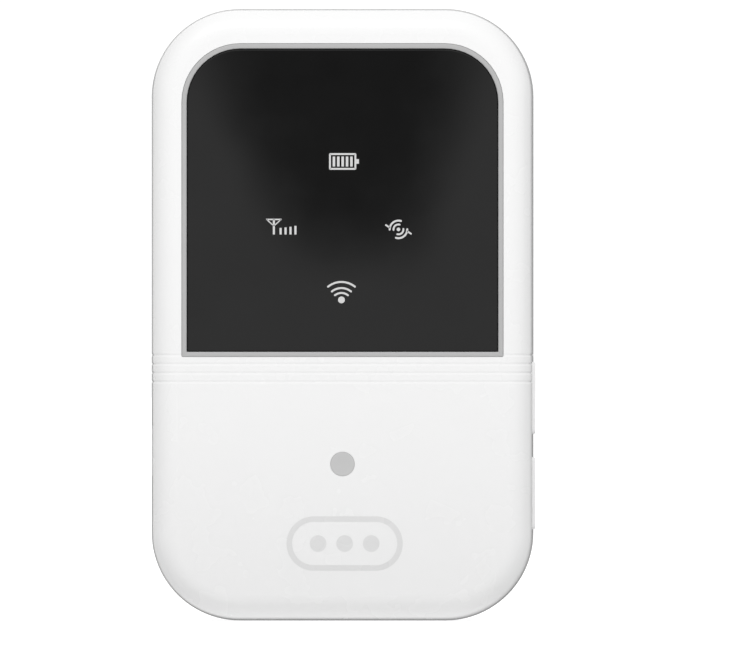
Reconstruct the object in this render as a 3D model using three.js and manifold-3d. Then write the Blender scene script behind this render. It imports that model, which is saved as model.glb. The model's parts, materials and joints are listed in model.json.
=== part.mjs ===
// Pocket mobile hotspot: a white two-shell housing with a black status window, one front key, two side
// keys, a clip-on back cover, and the battery, board and radio parts inside it.
// Units are millimetres. Everything is laid out face up first: X to the right, Y up the face and Z out of
// the front face, with the origin at the middle of the housing. The exported group then stands it upright,
// front towards -Y, resting on the ground plane.
import * as THREE from "three";
import { mergeVertices } from "three/addons/utils/BufferGeometryUtils.js";
import Module from "manifold-3d";

const wasm = await Module();
wasm.setup();

// ---- Driving dimensions: the housing ----
const WIDTH = 62;
const HEIGHT = 99.3;
const THICKNESS = 14;
const CORNER = 14.3; // radius of the four corners, seen from the front
const SIDE_WALL = 1.4;
const FACE_WALL = 1.5;
const COVER_WALL = 1.2;
const FRONT_ROUND = { inset: 4.2, depth: 3.4 };
const BACK_ROUND = { inset: 3.4, depth: 2.8 };
const TIGHT = 0.05; // gap between parts that touch
const FREE = 0.15; // gap round parts that move
const BEYOND = 200; // reach of a cutting tool that only has to pass the whole housing

const HALF_WIDTH = WIDTH / 2;
const HALF_HEIGHT = HEIGHT / 2;
const FRONT = THICKNESS / 2;
const BACK = -THICKNESS / 2;
const PARTING = -2; // the seam between the front shell and the back cover
const FACE_INSIDE = FRONT - FACE_WALL;
const SIDE_INSIDE = HALF_WIDTH - SIDE_WALL;
const COVER_INSIDE = BACK + COVER_WALL;

// ---- The face: window, trim, grooves ----
const WINDOW = { width: 52.04, top: 43.88, bottom: -6.83, corner: 9.5, foot: 0.25 };
const POCKET = { floor: 5.6, wall: 0.8, rim: 1 };
const BEZEL = { width: 0.85, top: FRONT - 0.05 };
const LENS = { low: 5.8, high: 6.7 };
const TAPE_WIDTH = 2;
const GROOVES = { first: -6.54, pitch: 1.44, count: 4, width: 0.44, depth: 0.22 };

// ---- Keys and switches ----
const SWITCH_TRAVEL = 0.35; // how far a switch plunger stands out of its own body
const FRONT_KEY = { y: -24.15, radius: 2, top: FRONT - 0.05, low: 4.3, flange: 3.2 };
const SIDE_KEY = { length: 11.68, height: 2.4, z: 1.5, corner: 0.9, proud: 0.25 };
const SIDE_FLANGE = { thickness: 0.8, extra: 0.8, back: SIDE_INSIDE - 0.25 - 0.8 };
const SIDE_KEYS = [
  { place: "upper", y: -13.5 },
  { place: "lower", y: -28.95 },
];
const EDGE_SWITCH = { near: 24.6, far: 27.4, length: 3.8, low: 0.75, high: 2.45 };
const EDGE_PLUNGER = { width: 1.2, height: 0.6, inside: 1 };
const PINHOLE = { y: -9, radius: 0.6 };

// ---- Board and what it carries ----
const BOARD = { width: 55.6, height: 92, corner: 11, low: 2.5, high: 3.3 };
const SHIELD = { low: 0.6, skin: 0.25, corner: 0.8 };
const SHIELDS = [
  { name: "modem_shield", x: -11, y: -4, width: 24, height: 28 },
  { name: "baseband_shield", x: 11, y: 1, width: 16, height: 22 },
  { name: "wireless_shield", x: 6, y: -26, width: 16, height: 14 },
];
const STATUS_LIGHTS = [
  { sign: "battery", x: 0, y: 24.85 },
  { sign: "signal", x: -9.9, y: 13.9 },
  { sign: "data", x: 9.05, y: 13.85 },
  { sign: "wireless", x: -0.1, y: 3.1 },
];
const LED = { width: 1.6, height: 0.8, thickness: 0.55 };
const LIGHT_HOLE_RADIUS = 2.5;
const BAFFLE = { width: 27, height: 30, y: 13.9, corner: 2, cell: 4.4 };
const PORT = { y: -22, z: 1.05, width: 7.5, height: 2.6, depth: 5.4, skin: 0.25, chamfer: 0.8, mouth: -30.3 };
const TONGUE = { width: 4.7, thickness: 0.7, lift: 0.3, back: 0.7 };
const SIM_SLOT = { x: -13, y: 36.5, width: 14, height: 14.5 };
const MEMORY_SLOT = { x: 12.5, y: 36, width: 14, height: 15 };
const SLOT_SKIN = { flat: 0.3, edge: 0.6 };
const SIM_CARD = { width: 12, height: 15, low: 1.2, thickness: 0.76, corner: 0.6, standsOut: 1.4, cut: 2.5 };
const FOIL = { thickness: 0.4, low: 0.6, high: 3.6, wallGap: 0.6 };

// ---- Chassis, battery, screws, back cover ----
const CHASSIS = { inset: SIDE_WALL + 0.25, low: -0.4, high: 0.4 };
const BATTERY = { width: 44, height: 60, y: -12.3, low: COVER_INSIDE + 0.2, high: -0.8, corner: 1.6 };
const BAY = { slack: 0.2, wall: 0.9, rim: COVER_INSIDE + 0.4 };
const CARD_WINDOWS = [
  { x: -12, width: 17, low: 24, high: 45.2 },
  { x: 12.5, width: 16, low: 24, high: 45.2 },
];
const LABEL = { width: 36, height: 46, thickness: 0.1 };
const CONTACTS = { y: 20.4, width: 12, depth: 3, low: -3.4, pitch: 3.4, count: 3 };
const BLADE = { width: 0.9, low: -2.6, high: -1, tip: 17.85, slack: 0.2 };
const SCREWS = [
  { level: "top", x: 24, y: 41.5 },
  { level: "middle", x: 26, y: 19.6 },
  { level: "bottom", x: 25.2, y: -38.6 },
];
const BOSS = { radius: 2.1, bore: 0.95, low: 0.6, bottom: 4.5 };
const SCREW = { shank: 0.8, head: 1.6, headHeight: 0.9, tip: 4, slot: 0.4 };
const CLIP = { thickness: 0.84, length: 5, top: -0.9 };
const SIDE_CLIPS_Y = [30, 2, -31];
const NAIL_NOTCH = { y: 14, length: 9, height: 1.1, depth: 0.8 };

// ---- Materials ----
const material = (colour, roughness, metalness = 0) =>
  new THREE.MeshStandardMaterial({ color: colour, roughness, metalness });

const housingWhite = material(0xf3f3f3, 0.22);
const silverTrim = material(0xbdbdbe, 0.35, 0.6);
const windowBlack = material(0x141414, 0.06);
const keyGrey = material(0xc6c6c6, 0.4);
const framePlastic = material(0xe4e4e2, 0.5);
const darkPlastic = material(0x1c1c1e, 0.6);
const clearPlastic = material(0xe8ecef, 0.25);
const boardGreen = material(0x1f5a3a, 0.55);
const shieldMetal = material(0xb9bbbe, 0.3, 0.9);
const contactGold = material(0xd6ae58, 0.3, 1);
const steel = material(0x9a9ca0, 0.35, 1);
const batteryWrap = material(0x2b2d33, 0.45);
const copperFoil = material(0xb8733a, 0.45, 0.7);
const ledYellow = material(0xe9e3b0, 0.3);
const padBlue = material(0x8ea6b8, 0.8);
const labelWhite = material(0xf0f0ee, 0.6);

// ---- Outlines ----
function roundedOutline(width, height, radius, x = 0, y = 0) {
  const shape = new THREE.Shape();
  const [right, top] = [x + width / 2 - radius, y + height / 2 - radius];
  const [left, bottom] = [x - width / 2 + radius, y - height / 2 + radius];
  shape.absarc(right, top, radius, 0, Math.PI / 2);
  shape.absarc(left, top, radius, Math.PI / 2, Math.PI);
  shape.absarc(left, bottom, radius, Math.PI, Math.PI * 1.5);
  shape.absarc(right, bottom, radius, Math.PI * 1.5, Math.PI * 2);
  return shape;
}

const housingOutline = (inset) =>
  roundedOutline(WIDTH - 2 * inset, HEIGHT - 2 * inset, CORNER - inset);

// The window's outline: large corners at the top, nearly square ones at the foot.
function windowOutline(inset) {
  const shape = new THREE.Shape();
  const half = WINDOW.width / 2 - inset;
  const [top, bottom] = [WINDOW.top - inset, WINDOW.bottom + inset];
  const corner = WINDOW.corner - inset;
  const foot = Math.max(WINDOW.foot - inset, 0.12);
  shape.absarc(half - corner, top - corner, corner, 0, Math.PI / 2);
  shape.absarc(corner - half, top - corner, corner, Math.PI / 2, Math.PI);
  shape.absarc(foot - half, bottom + foot, foot, Math.PI, Math.PI * 1.5);
  shape.absarc(half - foot, bottom + foot, foot, Math.PI * 1.5, Math.PI * 2);
  return shape;
}

// ---- Solids ----
function solidOf(geometry) {
  const loose = geometry.index ? geometry.toNonIndexed() : geometry;
  const bare = new THREE.BufferGeometry().setAttribute("position", loose.getAttribute("position"));
  const merged = mergeVertices(bare, 1e-4);
  const mesh = new wasm.Mesh({
    numProp: 3,
    vertProperties: merged.attributes.position.array,
    triVerts: new Uint32Array(merged.index.array),
  });
  return new wasm.Manifold(mesh);
}

function geometryOf(solid) {
  const mesh = solid.getMesh();
  return new THREE.BufferGeometry()
    .setAttribute("position", new THREE.BufferAttribute(mesh.vertProperties, 3))
    .setIndex(new THREE.BufferAttribute(mesh.triVerts, 1));
}

const joined = (solids) => solids.reduce((whole, piece) => whole.add(piece));
const cutBy = (solid, tools) => tools.reduce((left, tool) => left.subtract(tool), solid);
const around = (centre, length) => [centre - length / 2, centre + length / 2];

function extruded(shape, low, high, curveSegments) {
  const options = { depth: high - low, bevelEnabled: false, curveSegments };
  return new THREE.ExtrudeGeometry(shape, options).translate(0, 0, low);
}

const prism = (shape, low, high, curveSegments = 6) =>
  solidOf(extruded(shape, low, high, curveSegments));

// A prism that runs along X, from a shape drawn with Y across and Z up.
const TURN_TO_X = new THREE.Matrix4().makeBasis(
  new THREE.Vector3(0, 1, 0),
  new THREE.Vector3(0, 0, 1),
  new THREE.Vector3(1, 0, 0),
);
const prismAlongX = (shape, low, high, curveSegments = 3) =>
  solidOf(extruded(shape, low, high, curveSegments).applyMatrix4(TURN_TO_X));

function box(xs, ys, zs) {
  const size = [xs, ys, zs].map(([low, high]) => high - low);
  const centre = [xs, ys, zs].map(([low, high]) => (low + high) / 2);
  return solidOf(new THREE.BoxGeometry(...size).translate(...centre));
}

function rod(radius, low, high, x, y, segments = 16) {
  const geometry = new THREE.CylinderGeometry(radius, radius, high - low, segments);
  return solidOf(geometry.rotateX(Math.PI / 2).translate(x, y, (low + high) / 2));
}

function rodAlongX(radius, low, high, y, z, segments = 12) {
  const geometry = new THREE.CylinderGeometry(radius, radius, high - low, segments);
  return solidOf(geometry.rotateZ(Math.PI / 2).translate((low + high) / 2, y, z));
}

const ring = (outer, inner, low, high) =>
  prism(outer, low, high, 8).subtract(prism(inner, low - 1, high + 1, 8));

// A slab from low to high whose edge is rounded at its front end (side 1) or its back end (side -1).
function domed(shape, low, high, round, side, steps = 5) {
  const spare = round.depth + 1;
  const [from, to] = side > 0 ? [low - spare, high] : [low, high + spare];
  const options = {
    depth: to - from - 2 * round.depth,
    bevelEnabled: true,
    bevelThickness: round.depth,
    bevelSize: round.inset,
    bevelOffset: -round.inset,
    bevelSegments: steps,
    curveSegments: 9,
  };
  const whole = solidOf(new THREE.ExtrudeGeometry(shape, options).translate(0, 0, from + round.depth));
  const trim = side > 0 ? [from - 1, low] : [high, to + 1];
  return whole.subtract(box([-BEYOND, BEYOND], [-BEYOND, BEYOND], trim));
}

// ---- Front shell ----
function screwPlaces() {
  return SCREWS.flatMap(({ level, x, y }) => [
    { name: `${level}_left`, x: -x, y },
    { name: `${level}_right`, x, y },
  ]);
}

function grooveCuts() {
  const outside = domed(housingOutline(-1), PARTING - 1, FRONT + 1, FRONT_ROUND, 1);
  const core = domed(housingOutline(GROOVES.depth), PARTING - 2, FRONT - GROOVES.depth, FRONT_ROUND, 1);
  const skin = outside.subtract(core);
  return Array.from({ length: GROOVES.count }, (_, i) => {
    const y = GROOVES.first - i * GROOVES.pitch;
    const slab = box([-BEYOND, BEYOND], around(y, GROOVES.width), [-BEYOND, BEYOND]);
    return slab.intersect(skin);
  });
}

function sideKeySlot(y) {
  const { length, height, z, corner } = SIDE_KEY;
  const slot = roundedOutline(length + 2 * FREE, height + 2 * FREE, corner + FREE, y, z);
  return prismAlongX(slot, SIDE_INSIDE - 1, HALF_WIDTH + 1);
}

function portOpening() {
  const outline = roundedOutline(PORT.width + 0.9, PORT.height + 0.7, 0.9, PORT.y, PORT.z);
  return prismAlongX(outline, -HALF_WIDTH - 1, -SIDE_INSIDE + 1);
}

function frontShell() {
  const outer = domed(housingOutline(0), PARTING, FRONT, FRONT_ROUND, 1);
  const inner = { inset: 3, depth: 2.2 };
  const cavity = domed(housingOutline(SIDE_WALL), PARTING - 1, FACE_INSIDE, inner, 1, 3);
  const tray = prism(windowOutline(-POCKET.rim), POCKET.floor - POCKET.wall, POCKET.floor);
  const bosses = screwPlaces().map(({ x, y }) => rod(BOSS.radius, BOSS.low, FACE_INSIDE + TIGHT, x, y));
  const bores = screwPlaces().map(({ x, y }) => rod(BOSS.bore, BOSS.low - 1, BOSS.bottom, x, y, 12));
  const lightHoles = STATUS_LIGHTS.map(({ x, y }) => rod(LIGHT_HOLE_RADIUS, 0, FRONT, x, y));
  return cutBy(joined([outer.subtract(cavity), tray, ...bosses]), [
    prism(windowOutline(0), POCKET.floor, FRONT + 1, 8),
    rod(FRONT_KEY.radius + FREE, 0, FRONT + 1, 0, FRONT_KEY.y, 24),
    rodAlongX(PINHOLE.radius, -HALF_WIDTH - 1, -SIDE_INSIDE + 1, PINHOLE.y, SIDE_KEY.z),
    portOpening(),
    ...SIDE_KEYS.map(({ y }) => sideKeySlot(y)),
    ...bores,
    ...lightHoles,
    ...grooveCuts(),
  ]);
}

// ---- Window ----
const windowBezel = () =>
  ring(windowOutline(TIGHT), windowOutline(BEZEL.width - TIGHT), POCKET.floor + TIGHT, BEZEL.top);

const displayWindow = () => prism(windowOutline(BEZEL.width), LENS.low, LENS.high, 8);

function windowTape() {
  const edge = BEZEL.width + TIGHT;
  const [outer, inner] = [windowOutline(edge), windowOutline(edge + TAPE_WIDTH)];
  return ring(outer, inner, POCKET.floor + TIGHT, LENS.low - TIGHT);
}

// ---- Keys and their switches ----
function frontKey() {
  const cap = rod(FRONT_KEY.radius, FRONT_KEY.low, FRONT_KEY.top, 0, FRONT_KEY.y, 24);
  return cap.add(rod(FRONT_KEY.flange, FRONT_KEY.low, FACE_INSIDE - FREE, 0, FRONT_KEY.y, 24));
}

const FRONT_SWITCH = { size: 4.5, low: BOARD.high + TIGHT, top: FRONT_KEY.low - SWITCH_TRAVEL - TIGHT };
const FRONT_PLUNGER = { radius: 0.8, low: BOARD.high + SWITCH_TRAVEL, top: FRONT_KEY.low - TIGHT };

function frontSwitch() {
  const { size, low, top } = FRONT_SWITCH;
  const well = rod(FRONT_PLUNGER.radius + FREE, BOARD.low, FRONT, 0, FRONT_KEY.y);
  return box(around(0, size), around(FRONT_KEY.y, size), [low, top]).subtract(well);
}

const frontPlunger = () =>
  rod(FRONT_PLUNGER.radius, FRONT_PLUNGER.low, FRONT_PLUNGER.top, 0, FRONT_KEY.y);

function sideKey(y) {
  const { length, height, z, corner, proud } = SIDE_KEY;
  const { thickness, extra, back } = SIDE_FLANGE;
  const cap = roundedOutline(length, height, corner, y, z);
  const flange = roundedOutline(length + 2 * extra, height + extra, corner, y, z);
  return prismAlongX(cap, back, HALF_WIDTH + proud).add(prismAlongX(flange, back, back + thickness));
}

// The switch behind a key in a side wall: side 1 faces the right wall, side -1 the left wall.
const towards = (side, near, far) => (side > 0 ? [near, far] : [-far, -near]);

function edgeSwitch(y, side) {
  const { near, far, length, low, high } = EDGE_SWITCH;
  const { width, height, inside } = EDGE_PLUNGER;
  const well = box(
    towards(side, far - inside - SWITCH_TRAVEL, far + 1),
    around(y, width + 2 * FREE),
    around(SIDE_KEY.z, height + 2 * FREE),
  );
  return box(towards(side, near, far), around(y, length), [low, high]).subtract(well);
}

function edgePlunger(y, side, tip) {
  const { width, height, inside } = EDGE_PLUNGER;
  return box(towards(side, EDGE_SWITCH.far - inside, tip), around(y, width), around(SIDE_KEY.z, height));
}

// ---- Board and what is soldered to it ----
function mainBoard() {
  const plate = prism(roundedOutline(BOARD.width, BOARD.height, BOARD.corner), BOARD.low, BOARD.high);
  return cutBy(plate, screwPlaces().map(({ x, y }) => rod(BOSS.radius + 0.35, 0, FRONT, x, y)));
}

// A pressed can, open towards the board.
function shieldCan({ x, y, width, height }) {
  const { low, skin, corner } = SHIELD;
  const high = BOARD.low - TIGHT;
  const inside = roundedOutline(width - 2 * skin, height - 2 * skin, corner - skin, x, y);
  const can = prism(roundedOutline(width, height, corner, x, y), low, high, 2);
  return can.subtract(prism(inside, low + skin, high + 1, 2));
}

function thermalPad() {
  const { x, y, width, height } = SHIELDS[0];
  return box(around(x, width - 6), around(y, height - 6), [CHASSIS.high + TIGHT, SHIELD.low - TIGHT]);
}

function statusLed({ x, y }) {
  const low = BOARD.high + TIGHT;
  return box(around(x, LED.width), around(y, LED.height), [low, low + LED.thickness]);
}

const lightGuide = ({ x, y }) =>
  rod(LIGHT_HOLE_RADIUS - FREE, POCKET.floor - POCKET.wall + TIGHT, LENS.low - TIGHT, x, y);

function lightBaffle() {
  const { width, height, y: middle, corner, cell } = BAFFLE;
  const outline = roundedOutline(width, height, corner, 0, middle);
  const plate = prism(outline, BOARD.high + TIGHT, POCKET.floor - POCKET.wall - TIGHT, 3);
  const cells = STATUS_LIGHTS.map(({ x, y }) => box(around(x, cell), around(y, cell), [0, FRONT]));
  return cutBy(plate, cells);
}

// The port's outline, in Y and Z, narrower along its back edge.
function portOutline(skin) {
  const { y, z, width, height, chamfer } = PORT;
  const [half, rise] = [width / 2 - skin, height / 2 - skin];
  const points = [
    [y - half, z + rise],
    [y - half, z - rise + chamfer],
    [y - half + chamfer, z - rise],
    [y + half - chamfer, z - rise],
    [y + half, z - rise + chamfer],
    [y + half, z + rise],
  ];
  return new THREE.Shape(points.map(([across, up]) => new THREE.Vector2(across, up)));
}

function portShell() {
  const { mouth, depth, skin } = PORT;
  const hollow = prismAlongX(portOutline(skin), mouth - 1, mouth + depth - 2 * skin);
  return prismAlongX(portOutline(0), mouth, mouth + depth).subtract(hollow);
}

function portTongue() {
  const { mouth, depth, skin, y, z } = PORT;
  const { width, thickness, lift, back } = TONGUE;
  const end = mouth + depth - 2 * skin - TIGHT;
  return box([mouth + back, end], around(y, width), around(z + lift, thickness));
}

// A card socket: a flat metal cage under the board, open at its lower end.
function cardCage({ x, y, width, height }) {
  const { flat, edge } = SLOT_SKIN;
  const [low, high] = [SHIELD.low, BOARD.low - TIGHT];
  const slotWidth = width - 2 * edge;
  const slot = box(around(x, slotWidth), [y - height, y + height / 2 - edge], [low + flat, high - flat]);
  return box(around(x, width), around(y, height), [low, high]).subtract(slot);
}

// The card has one corner cut off, and its lower end stands out of the socket so that it can be drawn.
function simCard() {
  const { width, height, low, thickness, corner, standsOut, cut } = SIM_CARD;
  const { x } = SIM_SLOT;
  const bottom = SIM_SLOT.y - SIM_SLOT.height / 2 - standsOut;
  const [right, top] = [x + width / 2, bottom + height];
  const cutCorner = new THREE.Shape([
    new THREE.Vector2(right - cut, top),
    new THREE.Vector2(right, top - cut),
    new THREE.Vector2(right + cut, top + cut),
  ]);
  const card = prism(roundedOutline(width, height, corner, x, bottom + height / 2), low, low + thickness, 3);
  return card.subtract(prism(cutCorner, 0, FRONT));
}

// ---- Antennas: foil strips along the inside of the walls ----
function foilAcross(xs, end) {
  const outside = HALF_HEIGHT - SIDE_WALL - FOIL.wallGap;
  return box(xs, towards(end, outside - FOIL.thickness, outside), [FOIL.low, FOIL.high]);
}

function foilUpright(ys) {
  const outside = SIDE_INSIDE - FOIL.wallGap;
  return box(towards(-1, outside - FOIL.thickness, outside), ys, [FOIL.low, FOIL.high]);
}

// ---- Chassis, battery and contacts ----
const bayOutline = (grow) =>
  roundedOutline(
    BATTERY.width + 2 * grow, BATTERY.height + 2 * grow, BATTERY.corner + grow / 2, 0, BATTERY.y,
  );

function chassis() {
  const through = [BACK, FRONT];
  const plate = prism(housingOutline(CHASSIS.inset), CHASSIS.low, CHASSIS.high);
  const rib = prism(bayOutline(BAY.slack + BAY.wall), BAY.rim, CHASSIS.low + TIGHT, 2);
  const bay = prism(bayOutline(BAY.slack), BAY.rim - 1, CHASSIS.low, 2);
  const cardWindows = CARD_WINDOWS.map(({ x, width, low, high }) => box(around(x, width), [low, high], through));
  const screwHoles = screwPlaces().map(({ x, y }) => rod(SCREW.shank + 0.2, BACK, FRONT, x, y, 12));
  const keyRun = [SIDE_KEYS[1].y - SIDE_KEY.length / 2 - 1, SIDE_KEYS[0].y + SIDE_KEY.length / 2 + 1];
  const keyNotch = box([EDGE_SWITCH.far + 0.4, WIDTH], keyRun, through);
  const contactHole = box(
    around(0, CONTACTS.width + 0.6),
    [BATTERY.y + BATTERY.height / 2 - 1, CONTACTS.y + CONTACTS.depth / 2 + 0.3],
    through,
  );
  const portNotch = box([-WIDTH, PORT.mouth + PORT.depth + 0.3], around(PORT.y, PORT.width + 0.8), through);
  const cuts = [...cardWindows, ...screwHoles, keyNotch, contactHole, portNotch];
  return cutBy(plate.add(rib.subtract(bay)), cuts);
}

const battery = () => prism(bayOutline(0), BATTERY.low, BATTERY.high, 3);

function deviceLabel() {
  const high = CHASSIS.low - TIGHT;
  return box(around(0, LABEL.width), around(BATTERY.y, LABEL.height), [high - LABEL.thickness, high]);
}

function contactPlaces() {
  const middle = (CONTACTS.count - 1) / 2;
  return Array.from({ length: CONTACTS.count }, (_, i) => (i - middle) * CONTACTS.pitch);
}

function contactBlock() {
  const { y, width, depth, low } = CONTACTS;
  const { slack } = BLADE;
  const block = box(around(0, width), around(y, depth), [low, BOARD.low - TIGHT]);
  const slits = contactPlaces().map((x) =>
    box(around(x, BLADE.width + 2 * slack), [0, y], [BLADE.low - slack, BLADE.high + slack]),
  );
  return cutBy(block, slits);
}

const contactBlade = (x) =>
  box(around(x, BLADE.width), [BLADE.tip, CONTACTS.y - BLADE.slack], [BLADE.low, BLADE.high]);

// ---- Back cover ----
function coverClips() {
  const zs = [COVER_INSIDE - TIGHT, CLIP.top];
  const inFromWall = 0.25 + CLIP.thickness / 2;
  const across = SIDE_INSIDE - inFromWall;
  const upDown = HALF_HEIGHT - SIDE_WALL - inFromWall;
  return [-1, 1].flatMap((side) => [
    ...SIDE_CLIPS_Y.map((y) => box(around(side * across, CLIP.thickness), around(y, CLIP.length), zs)),
    box(around(0, CLIP.length), around(side * upDown, CLIP.thickness), zs),
  ]);
}

function backCover() {
  const seam = PARTING - FREE;
  const outer = domed(housingOutline(0), BACK, seam, BACK_ROUND, -1);
  const inner = { inset: 2.4, depth: 1.8 };
  const cavity = domed(housingOutline(COVER_WALL), COVER_INSIDE, seam + 1, inner, -1, 3);
  const notch = box(
    [-WIDTH, -HALF_WIDTH + NAIL_NOTCH.depth],
    around(NAIL_NOTCH.y, NAIL_NOTCH.length),
    [seam - NAIL_NOTCH.height, FRONT],
  );
  return joined([outer.subtract(cavity), ...coverClips()]).subtract(notch);
}

// ---- Screws: cross-recessed, driven in from the back ----
function screw(x, y) {
  const { shank, head, headHeight, tip, slot } = SCREW;
  const top = CHASSIS.low - TIGHT;
  const low = top - headHeight;
  const recess = [low - 1, low + headHeight / 2];
  const body = rod(head, low, top, x, y).add(rod(shank, top - TIGHT, tip, x, y, 12));
  return cutBy(body, [
    box(around(x, head * 1.2), around(y, slot), recess),
    box(around(x, slot), around(y, head * 1.2), recess),
  ]);
}

// ---- Assembly ----
const hotspot = new THREE.Group();

function place(name, solid, finish) {
  const mesh = new THREE.Mesh(geometryOf(solid), finish);
  mesh.name = name;
  hotspot.add(mesh);
}

place("front_shell", frontShell(), housingWhite);
place("window_bezel", windowBezel(), silverTrim);
place("display_window", displayWindow(), windowBlack);
place("window_tape", windowTape(), darkPlastic);

place("power_key", frontKey(), keyGrey);
place("power_switch", frontSwitch(), shieldMetal);
place("power_switch_plunger", frontPlunger(), darkPlastic);
for (const key of SIDE_KEYS) {
  place(`side_key_${key.place}`, sideKey(key.y), housingWhite);
  place(`side_switch_${key.place}`, edgeSwitch(key.y, 1), shieldMetal);
  place(`side_switch_plunger_${key.place}`, edgePlunger(key.y, 1, SIDE_FLANGE.back - TIGHT), darkPlastic);
}
place("reset_switch", edgeSwitch(PINHOLE.y, -1), shieldMetal);
place("reset_plunger", edgePlunger(PINHOLE.y, -1, EDGE_SWITCH.far + SWITCH_TRAVEL), darkPlastic);

place("main_board", mainBoard(), boardGreen);
for (const shield of SHIELDS) place(shield.name, shieldCan(shield), shieldMetal);
place("thermal_pad", thermalPad(), padBlue);
for (const light of STATUS_LIGHTS) {
  place(`status_led_${light.sign}`, statusLed(light), ledYellow);
  place(`light_guide_${light.sign}`, lightGuide(light), clearPlastic);
}
place("light_baffle", lightBaffle(), darkPlastic);
place("usb_port_shell", portShell(), shieldMetal);
place("usb_port_tongue", portTongue(), darkPlastic);
place("sim_card_cage", cardCage(SIM_SLOT), shieldMetal);
place("sim_card", simCard(), labelWhite);
place("memory_card_cage", cardCage(MEMORY_SLOT), shieldMetal);

place("cellular_antenna", foilAcross([-16, 14], 1), copperFoil);
place("diversity_antenna", foilAcross([-14, 12], -1), copperFoil);
place("wireless_antenna", foilUpright([18, 28]), copperFoil);

place("chassis", chassis(), framePlastic);
place("device_label", deviceLabel(), labelWhite);
place("battery_contact_block", contactBlock(), darkPlastic);
contactPlaces().forEach((x, i) => place(`battery_contact_${i + 1}`, contactBlade(x), contactGold));
place("battery", battery(), batteryWrap);
for (const { name, x, y } of screwPlaces()) place(`screw_${name}`, screw(x, y), steel);
place("back_cover", backCover(), housingWhite);

// Stand it upright: the face turns to -Y, and the lower end rests on the ground.
hotspot.rotation.x = Math.PI / 2;
hotspot.position.z = HALF_HEIGHT;

export default hotspot;
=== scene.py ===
"""The looks of a pocket mobile hotspot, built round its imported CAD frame.

Lengths are millimetres in the face frame until at() turns them into the row frame's metres:
u runs right across the face, v up it from its middle, and w out of it.
"""

import json
import math

import bmesh
import bpy
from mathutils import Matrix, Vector
from mathutils.geometry import delaunay_2d_cdt


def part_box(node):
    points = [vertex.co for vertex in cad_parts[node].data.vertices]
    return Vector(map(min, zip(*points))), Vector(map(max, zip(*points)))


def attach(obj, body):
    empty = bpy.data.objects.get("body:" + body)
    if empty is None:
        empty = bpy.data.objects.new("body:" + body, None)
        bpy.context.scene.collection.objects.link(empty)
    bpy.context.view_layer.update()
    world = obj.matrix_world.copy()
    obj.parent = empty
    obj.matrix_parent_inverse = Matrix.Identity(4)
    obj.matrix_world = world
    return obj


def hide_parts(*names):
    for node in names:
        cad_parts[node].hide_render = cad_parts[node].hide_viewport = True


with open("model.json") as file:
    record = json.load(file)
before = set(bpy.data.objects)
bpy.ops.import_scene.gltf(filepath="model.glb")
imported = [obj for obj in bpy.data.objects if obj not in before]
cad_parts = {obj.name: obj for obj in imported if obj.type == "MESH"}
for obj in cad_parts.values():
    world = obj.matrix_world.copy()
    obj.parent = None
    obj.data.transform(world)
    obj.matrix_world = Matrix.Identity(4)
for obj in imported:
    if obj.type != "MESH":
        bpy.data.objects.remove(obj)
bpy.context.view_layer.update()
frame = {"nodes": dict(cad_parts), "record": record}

# ---- Sizes, from the frame where it holds them ----
MM = 0.001
shell_low, shell_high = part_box("front_shell")
HALF_WIDTH = shell_high.x / MM
HALF_HEIGHT = shell_high.z / MM / 2
FRONT = -shell_low.y / MM
PARTING = -shell_high.y / MM
BACK = -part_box("back_cover")[1].y / MM

CORNER = 14.3
SEAM = 0.15
SIDE_WALL = 1.4
COVER_WALL = 1.2
FACE = FRONT - 0.02  # so that the printed mark can lie on the face and still be inside the CAD box
FACE_INSIDE = FRONT - 1.5
FRONT_ROUND = (4.2, 3.4)  # how far it reaches across the face and down the side
BACK_ROUND = (3.4, 2.8)
DRAFT = 0.31  # how far the side wall leans in between the seam and the front's rounding
FLAT_START = 0.15  # where the flat of the face or back begins, past its rounding

GROOVE_DEPTH = 0.06  # on the face
GROOVE_SIDE_DEPTH = 0.15
GROOVE_REACH = 0.3  # half the width of a groove
GROOVE_FIRST, GROOVE_PITCH, GROOVE_COUNT = -6.54, 1.44, 4
GROOVES = [GROOVE_FIRST - GROOVE_PITCH * i for i in range(GROOVE_COUNT)]
GROOVE_STOPS = [GROOVE_REACH * i / 4 for i in range(-5, 6)]

POCKET_FLOOR = 5.6
WINDOW_HALF = 26.02
WINDOW_TOP, WINDOW_FOOT = 43.88, -6.83
WINDOW_CORNER, WINDOW_FOOT_CORNER, LEAST_CORNER = 9.5, 0.25, 0.12
BEZEL_WIDTH = WINDOW_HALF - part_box("display_window")[1].x / MM
LIP = 0.09  # rounding of the window opening's edge

KEY_HOLE, KEY_RADIUS = 1.98, 1.965
LIGHT_HOLE = 2.5
SIDE_KEY_HALVES = (5.84, 1.2)  # along v and w
SIDE_KEY_GAP = 0.15
# half sizes along v and w, and the corner radius, of the openings in the side walls
SIDE_KEY_SLOT = (SIDE_KEY_HALVES[0] + SIDE_KEY_GAP, SIDE_KEY_HALVES[1] + SIDE_KEY_GAP, 1.0)
PORT_OPENING = (4.2, 1.65, 0.9)
PINHOLE = (0.6, 0.6, 0.59)
NOTCH, NOTCH_V = (4.5, 1.6, 0.8), 14
WALL_CUT = 2.5  # how far a side opening is cut into the housing
SHARP = 35.0  # edges that turn by more degrees than this are drawn sharp


def span(node):
    """The (u, v, w) lows and highs of a CAD node."""
    low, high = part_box(node)
    return (
        (low.x / MM, low.z / MM - HALF_HEIGHT, -high.y / MM),
        (high.x / MM, high.z / MM - HALF_HEIGHT, -low.y / MM),
    )


def middle(node):
    low, high = span(node)
    return tuple((a + b) / 2 for a, b in zip(low, high))


def at(u, v, w):
    return Vector((u, -w, v + HALF_HEIGHT)) * MM


def uv_of(vertex):
    return Vector((vertex.co.x / MM, vertex.co.z / MM - HALF_HEIGHT))


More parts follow.
